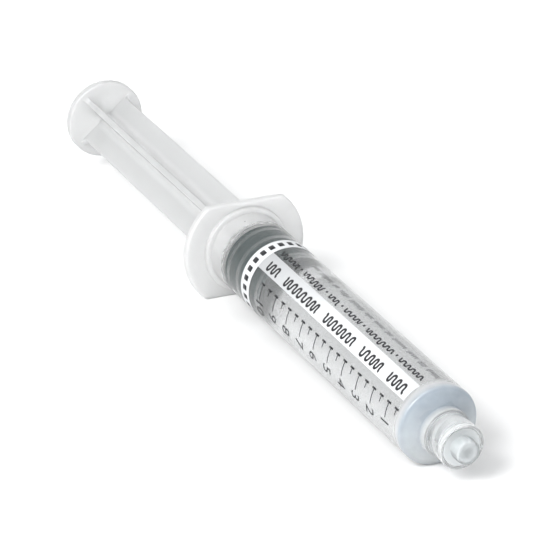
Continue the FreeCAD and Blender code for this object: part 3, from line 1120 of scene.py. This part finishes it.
@dataclass
class TipCap:
    """The closed cap in the collar: a skirt, a ribbed stub and a socket over the nozzle."""

    axis: SyringeAxis
    rear: float = 89.3
    skirt: float = 3.4
    skirt_end: float = 95.2
    lip: float = 3.88
    lip_length: float = 0.45
    stub: float = 2.4
    front: float = 97.88
    mouth: float = 2.245
    socket: float = 2.005
    socket_end: float = 97.33
    edge: float = 0.3
    grip_count: int = 8
    grip_height: float = 0.08
    grip_half_angle: float = 0.14
    columns: int = 256

    def grip_shift(self, s: np.ndarray, r: np.ndarray, angle: np.ndarray) -> np.ndarray:
        """How far the grips stand out: a soft bump at each, over the stub's own length."""
        pitch = TURN / self.grip_count
        away = np.abs(angle - np.round(angle / pitch) * pitch) / self.grip_half_angle
        bump = np.clip(1.3 - away, 0.0, 1.0)
        bump = bump * bump * (3 - 2 * bump)
        rise = np.clip((self.front - self.edge - s) / 0.3, 0.0, 1.0)
        on_stub = (s > self.skirt_end + 0.05) & (np.abs(r - self.stub) < 0.02)
        return np.where(on_stub, self.grip_height * bump * rise, 0.0)

    def build(self) -> bpy.types.Object:
        """Make the cap as one closed turned surface.

        Returns:
            The piece.
        """
        section = half_section([
            Corner(self.front, 0.0),
            Corner(self.front, self.stub, self.edge, 10),
            Corner(self.skirt_end, self.stub, 0.08),
            Corner(self.skirt_end, self.lip, 0.15),
            Corner(self.skirt_end - self.lip_length, self.lip, 0.15),
            Corner(self.skirt_end - 2 * self.lip_length, self.skirt, 0.15),
            Corner(self.rear, self.skirt, self.edge),
            Corner(self.rear, self.mouth, 0.08),
            Corner(self.socket_end, self.socket, 0.08),
            Corner(self.socket_end, 0.0),
        ], closed=False)
        angle = np.arange(self.columns) * TURN / self.columns
        s, turn = np.broadcast_arrays(section[:, :1], angle[None])
        r = np.broadcast_to(section[:, 1:], s.shape)
        r = r + self.grip_shift(s, r, turn)
        surface = Surface()
        surface.add_turned(self.axis.turned(s, r, turn))
        piece = surface.build("luer_tip_cap")
        dress(piece, CAP_PLASTIC, Body.TIP_CAP, Slot.CAP, ("tip_cap",))
        return piece


@dataclass
class Saline:
    """The saline between stopper and nozzle.

    It reaches a little into the wall, so that light goes from plastic to liquid with no film
    of air between them.
    """

    axis: SyringeAxis
    rear: float = 25.02
    front: float = 85.42
    radius: float = 7.265
    channel: float = 1.015
    rear_cone: float = 1.9
    front_cone: float = 1.9
    nozzle_tip: float = 97.3

    def build(self) -> bpy.types.Object:
        """Make the liquid, with no rows between its ends.

        Returns:
            The piece.
        """
        apex = self.rear + self.rear_cone
        section = half_section([
            Corner(apex, 0.0),
            Corner(apex, self.channel, 0.2),
            Corner(self.rear, self.radius),
            Corner(self.front, self.radius),
            Corner(self.front + self.front_cone, self.channel, 0.2),
            Corner(self.nozzle_tip, self.channel),
            Corner(self.nozzle_tip, 0.0),
        ], closed=False)
        piece = turned_piece("saline_liquid", self.axis, section)
        dress(piece, SALINE, None, Slot.SALINE, ("saline_fill",))
        start = self.axis.place(self.front - 0.2, 0.0, 0.0)
        end = self.axis.place(apex + 0.05, 0.0, 0.0)
        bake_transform(piece)
        return piece


@dataclass(frozen=True)
class PrintLine:
    """A line of plain waves in word-like lengths, in place of words.

    Attributes:
        groups: Length of each wave, in strokes.
        start: Where the line starts, in millimetres along the syringe.
        end: Where it ends.
        low: Angle of the waves' feet, in degrees.
        high: Angle of their heads.
        weight: Width of a stroke.
        slant: How far a head leans, as a share of the height.
        dots: Whether a dot stands between waves.
        low_share: Height of the low strokes, as a share of the tall ones.
    """

    groups: tuple[int, ...]
    start: float
    end: float
    low: float
    high: float
    weight: float
    slant: float = 0.0
    dots: bool = False
    low_share: float = 1.0


@dataclass
class Label:
    """The clear label film and its print."""

    axis: SyringeAxis
    start: float = 17.0
    end: float = 84.0
    inner: float = 8.205
    outer: float = 8.24
    lift: float = 0.003
    ink: float = 0.004
    ring_end: float = 20.7
    square_place: float = 18.8
    square_count: int = 25
    square_phase: float = 135.85
    square_length: float = 1.6
    square_width: float = 1.15
    band_low: float = 111.0
    band_high: float = 140.2
    band_end: float = 83.6
    full_mark: float = 25.6
    mark_pitch: float = 6.056
    marks: int = 10
    stem_angle: float = 154.3
    long_stem: float = 3.2
    short_stem: float = 1.35
    stem_width: float = 0.26
    serif_length: float = 1.5
    serif_width: float = 0.42
    digit_angle: float = 181.0
    digit_height: float = 3.1
    digit_stretch: float = 2.75
    arc_step: float = 0.22
    digit_edge: float = 0.12
    word_gap: float = 3.0
    dot: float = 0.3
    lines: tuple[PrintLine, ...] = (
        PrintLine((5, 15, 13, 9, 7), 23.0, 82.0, 120.8, 136.9, 0.56),
        PrintLine((9, 10, 5, 8, 13, 11), 21.8, 82.0, 97.0, 108.5, 0.42, 0.2, True, 0.68),
        PrintLine(
            (8, 13, 5, 10, 15, 8, 11, 6, 14, 10, 7, 12), 30.0, 83.0, 77.0, 86.0, 0.14,
            low_share=0.7,
        ),
    )

    def layer(self, level: int) -> tuple[float, float]:
        """Inner and outer radius of the ink at a level above the film."""
        low = self.outer + self.lift + level * (self.ink + self.lift)
        return low, low + self.ink

    def patch(
        self, surface: Surface, middle: tuple[float, float], half: tuple[float, float],
        level: int, corner: float = 0.0,
    ) -> None:
        """Add one rounded rectangle of ink that hugs the tube.

        Rows run round the tube. In a row the half length shrinks along a quarter circle where
        the row is within the corner radius of the end.

        Args:
            surface: Where it is added.
            middle: Place along the syringe in millimetres and angle in degrees.
            half: Half length along the syringe and half width round it, in millimetres.
            level: The ink's level above the film.
            corner: Radius of the corners.
        """
        inner, outer = self.layer(level)
        rows = max(2, int(math.ceil(2 * half[1] / self.arc_step)) + 1)
        across = -np.cos(np.linspace(0.0, math.pi, max(rows, 7 if corner else 2))) * half[1]
        short = np.maximum(np.abs(across) - (half[1] - corner), 0.0)
        reach = half[0] - corner + np.sqrt(np.maximum(corner ** 2 - short ** 2, 0.0))
        reach = np.maximum(reach, 0.02 * half[0])
        s = middle[0] + reach[:, None] * np.array([-1.0, 1.0])
        angle = math.radians(middle[1]) + across[:, None] / self.outer
        angle = np.broadcast_to(angle, s.shape)
        surface.add_slab(self.axis.turned(s, outer, angle), self.axis.turned(s, inner, angle))

    def wave(
        self, surface: Surface, feet: np.ndarray, heights: np.ndarray, line: PrintLine
    ) -> None:
        """Add one wave of ink, a band of constant width along upright strokes and round turns.

        From one turn to the next, the place goes by t + sin(turn * t) / turn and the height by
        (1 - cos(half a turn * t)) / 2, so that the middle of a stroke stands upright.

        Args:
            surface: Where it is added.
            feet: Places of the turns along the syringe, in millimetres.
            heights: Heights of the turns above the line, in millimetres.
            line: The line's layout.
        """
        inner, outer = self.layer(1)
        share = np.linspace(0.0, 1.0, 13)[:-1]
        onward = share + np.sin(TURN * share) / TURN
        rise = (1 - np.cos(math.pi * share)) / 2
        along = (feet[:-1, None] + np.diff(feet)[:, None] * onward).ravel()
        across = (heights[:-1, None] + np.diff(heights)[:, None] * rise).ravel()
        path = np.stack([np.append(along, feet[-1]), np.append(across, heights[-1])], axis=-1)
        course = np.gradient(path, axis=0)
        course /= np.linalg.norm(course, axis=1, keepdims=True)
        normal = np.stack([-course[:, 1], course[:, 0]], axis=-1) * line.weight / 2
        band = np.stack([path - normal, path + normal])
        s = band[..., 0] + line.slant * band[..., 1]
        angle = math.radians(line.low) + band[..., 1] / self.outer
        surface.add_slab(self.axis.turned(s, outer, angle), self.axis.turned(s, inner, angle))

    def add_sleeve(
        self, surface: Surface, end: float, radii: tuple[float, float], edge: float, steps: int
    ) -> None:
        """Add a thin closed tube round the barrel, from the film's start.

        Args:
            surface: Where it is added.
            end: Where it ends, in millimetres along the syringe.
            radii: Its inner and outer radius.
            edge: Rounding of its edges.
            steps: Steps in each rounding.
        """
        inner, outer = radii
        places = ((self.start, outer), (end, outer), (end, inner), (self.start, inner))
        section = half_section([Corner(s, r, edge) for s, r in places], closed=True, steps=steps)
        surface.add_grid(turned(self.axis, section), wrap_rows=True, wrap_columns=True)

    def finish(
        self, surface: Surface, name: str, finish: Film | Ink, nodes: tuple[str, ...] = ()
    ) -> None:
        """Make one layer of the label, on the barrel."""
        dress(surface.build(name), finish, Body.BARREL, Slot.LABEL, nodes)

    def build_film(self) -> None:
        """Make the film as a thin closed tube."""
        surface = Surface()
        self.add_sleeve(surface, self.end, (self.inner, self.outer), 0.01, 2)
        self.finish(surface, "label_sleeve", LABEL_FILM, ("label_film",))

    def build_fields(self) -> None:
        """Make the white ring and the white band."""
        surface = Surface()
        self.add_sleeve(surface, self.ring_end, self.layer(0), 0.001, 1)
        middle = ((self.ring_end + self.band_end) / 2, (self.band_low + self.band_high) / 2)
        width = math.radians(self.band_high - self.band_low) * self.outer
        self.patch(surface, middle, ((self.band_end - self.ring_end) / 2, width / 2), 0)
        self.finish(surface, "label_white_fields", WHITE_INK)

    def build_squares(self) -> None:
        """Make the chequer squares round the white ring."""
        surface = Surface()
        for count in range(self.square_count):
            angle = self.square_phase + count * 360.0 / self.square_count
            half = (self.square_length / 2, self.square_width / 2)
            self.patch(surface, (self.square_place, angle), half, 1, 0.12)
        self.finish(surface, "label_chequer", BLACK_INK)

    def build_marks(self) -> None:
        """Make the graduation marks: a stem round the tube and a short bar at its head."""
        surface = Surface()
        for count in range(2 * self.marks):
            s = self.full_mark + count * self.mark_pitch / 2
            length = self.short_stem if count % 2 else self.long_stem
            middle = self.stem_angle + math.degrees(length / 2 / self.outer)
            self.patch(surface, (s, middle), (self.stem_width / 2, length / 2), 1)
            half = (self.serif_length / 2, self.serif_width / 2)
            self.patch(surface, (s, self.stem_angle), half, 1, 0.08)
        self.finish(surface, "label_graduations", BLACK_INK)

    def digits(self, number: int) -> tuple[np.ndarray, list]:
        """Flat outline mesh of a number, one unit high, with its faces.

        Args:
            number: The number to write.

        Returns:
            Points with x to the right from 0 and y up from -0.5 to 0.5, z 0 or 1, and faces.
        """
        curve = bpy.data.curves.new("digit", "FONT")
        curve.body = str(number)
        curve.extrude = 0.5
        curve.resolution_u = 6
        holder = bpy.data.objects.new("digit", curve)
        bpy.context.scene.collection.objects.link(holder)
        bpy.context.view_layer.update()
        shape = holder.evaluated_get(bpy.context.evaluated_depsgraph_get())
        mesh = bpy.data.meshes.new_from_object(shape)
        bpy.data.objects.remove(holder)
        bpy.data.curves.remove(curve)
        work = bmesh.new()
        work.from_mesh(mesh)
        bmesh.ops.remove_doubles(work, verts=work.verts, dist=1e-5)
        for _ in range(3):
            edges = [e for e in work.edges if e.calc_length() > self.digit_edge]
            bmesh.ops.subdivide_edges(work, edges=edges, cuts=1)
            bmesh.ops.triangulate(work, faces=work.faces)
        points = np.array([v.co for v in work.verts], float)
        faces = [[v.index for v in f.verts] for f in work.faces]
        work.free()
        bpy.data.meshes.remove(mesh)
        low, high = points.min(0), points.max(0)
        points[:, 0] = (points[:, 0] - low[0]) / (high[1] - low[1])
        points[:, 1] = (points[:, 1] - low[1]) / (high[1] - low[1]) - 0.5
        points[:, 2] += 0.5
        return points, faces

    def build_numbers(self) -> None:
        """Make the numbers of the scale, wrapped on the tube, tops towards the tip."""
        inner, outer = self.layer(1)
        surface = Surface()
        for number in range(1, self.marks + 1):
            points, faces = self.digits(number)
            s = self.full_mark + (self.marks - number) * self.mark_pitch
            across = points[:, 0] * self.digit_stretch
            angle = math.radians(self.digit_angle) + across / self.outer
            radius = inner + (outer - inner) * points[:, 2]
            placed = self.axis.turned(s + points[:, 1] * self.digit_height, radius, angle)
            surface.add(placed, np.array(faces))
        self.finish(surface, "label_numbers", BLACK_INK)

    def build_line(self, index: int, line: PrintLine, finish: Ink) -> None:
        """Make one line of plain waves, whose strokes vary a little in width and height.

        Args:
            index: The line's number, for its name.
            line: Its layout.
            finish: Its ink.
        """
        chance = np.random.default_rng(7 + index)
        surface = Surface()
        gap = self.word_gap
        step = (line.end - line.start) / (sum(line.groups) + gap * (len(line.groups) - 1))
        height = math.radians(line.high - line.low) * self.outer - line.weight
        place = line.start
        for number, group in enumerate(line.groups):
            widths = chance.uniform(0.75, 1.25, group)
            feet = place + step * group * np.append(0.0, np.cumsum(widths)) / widths.sum()
            heads = np.where(chance.random(group + 1) < 0.3, 1.0, line.low_share) * height
            heights = np.where(np.arange(group + 1) % 2 == 0, 0.0, heads) + line.weight / 2
            self.wave(surface, feet, heights, line)
            place += step * group
            if line.dots and number < len(line.groups) - 1:
                middle = line.low + math.degrees(0.4 * height / self.outer)
                half = (self.dot, self.dot)
                self.patch(surface, (place + gap * step / 2, middle), half, 1, self.dot - 0.01)
            place += gap * step
        self.finish(surface, f"label_wave_line_{index}", finish)

    def build(self) -> None:
        """Make the film and all its print."""
        self.build_film()
        self.build_fields()
        self.build_squares()
        self.build_marks()
        self.build_numbers()
        for index, ink in enumerate((BLACK_INK, BLACK_INK, GREY_INK)):
            self.build_line(index + 1, self.lines[index], ink)


@dataclass
class Studio:
    """The floor, the light and the camera."""

    axis: SyringeAxis
    camera_along: float = 566.462
    camera_aside: float = -274.349
    camera_above: float = 293.173
    target_along: float = 15.75
    camera_roll: float = 1.843
    lens: float = 219.4
    sensor: float = 36.0
    floor_reach: float = 3.0
    sky: float = 1.06
    sky_slope: float = 0.08
    key_power: float = 7.4
    key_size: float = 0.38
    key_way: tuple[float, float, float] = (0.32, -0.72, 0.62)
    key_distance: float = 0.8

    def build_floor(self) -> None:
        """Make the pale floor."""
        reach = self.floor_reach
        corners = [(x * reach, y * reach, 0.0) for x, y in ((-1, -1), (1, -1), (1, 1), (-1, 1))]
        mesh = bpy.data.meshes.new("floor")
        mesh.from_pydata(corners, [], [(0, 1, 2, 3)])
        floor = bpy.data.objects.new("floor", mesh)
        bpy.context.scene.collection.objects.link(floor)
        floor.data.materials.append(FLOOR_PAINT.build())

    def build_light(self) -> None:
        """Make the pale surroundings and the soft key light from the upper left."""
        world = bpy.data.worlds.new("studio")
        world.use_nodes = True
        tree = world.node_tree
        background = tree.nodes["Background"]
        background.inputs["Color"].default_value = (0.985, 0.993, 1.0, 1.0)
        where = tree.nodes.new("ShaderNodeTexCoord")
        parts = tree.nodes.new("ShaderNodeSeparateXYZ")
        slope = tree.nodes.new("ShaderNodeMath")
        slope.operation = "MULTIPLY_ADD"
        slope.inputs[1].default_value = self.sky_slope
        slope.inputs[2].default_value = self.sky
        tree.links.new(where.outputs["Generated"], parts.inputs[0])
        tree.links.new(parts.outputs[0], slope.inputs[0])
        tree.links.new(slope.outputs[0], background.inputs["Strength"])
        bpy.context.scene.world = world
        lamp = bpy.data.lights.new("key", "AREA")
        lamp.shape = "SQUARE"
        lamp.size = self.key_size
        lamp.energy = self.key_power
        key = bpy.data.objects.new("key", lamp)
        bpy.context.scene.collection.objects.link(key)
        target = Vector(self.axis.place(30.0, 0.0, 0.0))
        key.location = target + self.key_distance * Vector(self.key_way).normalized()
        key.rotation_mode = "QUATERNION"
        key.rotation_quaternion = (target - key.location).to_track_quat("-Z", "Y")

    def build_camera(self) -> None:
        """Make the camera at the photograph's place and set the view's plain tone curve."""
        scene = bpy.context.scene
        data = bpy.data.cameras.new("view")
        data.lens = self.lens
        data.sensor_width = self.sensor
        camera = bpy.data.objects.new("view", data)
        scene.collection.objects.link(camera)
        eye = Vector(self.axis.place(self.camera_along, self.camera_aside, self.camera_above))
        target = Vector(self.axis.place(self.target_along, 0.0, 0.0))
        forward = (target - eye).normalized()
        up = Vector(self.axis.above)
        right = forward.cross(up).normalized()
        level = right.cross(forward)
        roll = Quaternion(forward, -math.radians(self.camera_roll))
        right, level = roll @ right, roll @ level
        turn = Matrix((right, level, -forward)).transposed()
        camera.matrix_world = Matrix.Translation(eye) @ turn.to_4x4()
        scene.camera = camera
        scene.view_settings.view_transform = "Standard"
        scene.cycles.max_bounces = 32
        scene.cycles.transmission_bounces = 32
        scene.cycles.diffuse_bounces = 8
        scene.cycles.glossy_bounces = 8
        scene.cycles.transparent_max_bounces = 40

    def build(self) -> None:
        """Make everything that isn't the syringe."""
        self.build_floor()
        self.build_light()
        self.build_camera()


def main() -> None:
    """Build the studio and every piece in order."""
    logging.basicConfig(level=logging.INFO, format="%(name)s: %(message)s")
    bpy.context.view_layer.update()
    axis = SyringeAxis.from_record(frame["record"])
    Studio(axis).build()
    Barrel(axis).build()
    PlungerRod(axis).build()
    Stopper(axis).build()
    TipCap(axis).build()
    Saline(axis).build()
    Label(axis).build()


if __name__ == "__main__":
    main()
